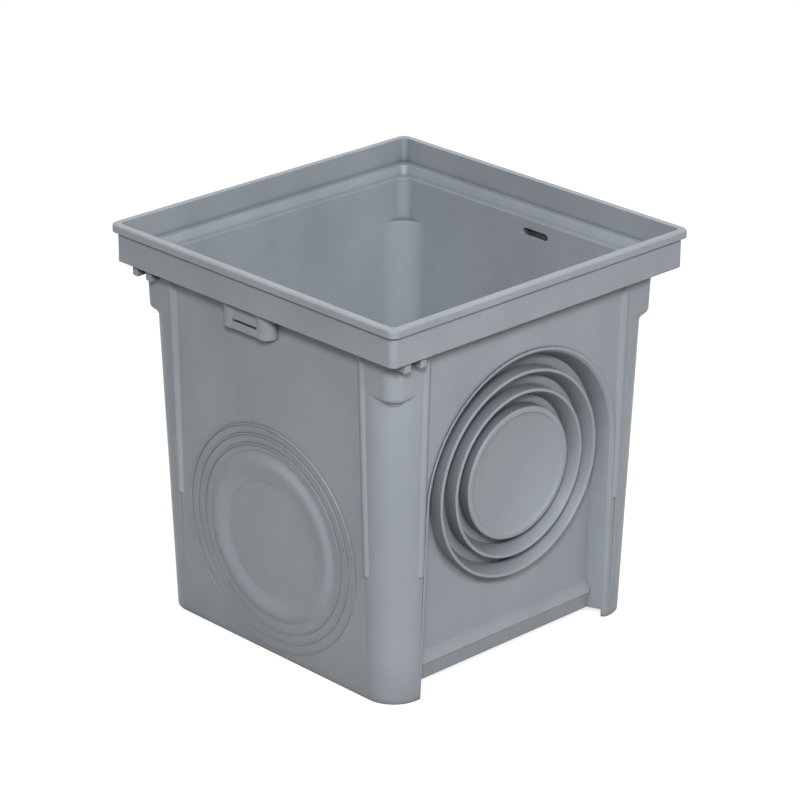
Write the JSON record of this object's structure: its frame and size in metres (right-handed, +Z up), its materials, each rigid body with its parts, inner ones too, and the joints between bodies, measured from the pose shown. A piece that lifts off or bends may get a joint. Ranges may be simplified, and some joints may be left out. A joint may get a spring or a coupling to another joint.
{
  "type": "drain inspection chamber",
  "caption": "Square tapered plastic drain chamber with a stepped grate seat, pipe knock-out rings in an arched recess, scored knock-outs and corner columns.",
  "frame": {"origin": "centre of the base, on the plane that the foot stands on", "axes": "+Z up to the rim, +X out of the wall with the arched pipe recess, +Y to the wall on its left seen from inside"},
  "size_m": [0.3, 0.3, 0.305],
  "materials": {
    "grey_polypropylene": "moulded satin"
  },
  "bodies": {
    "root": {"chamber_body": "grey_polypropylene"}
  },
  "joints": []
}
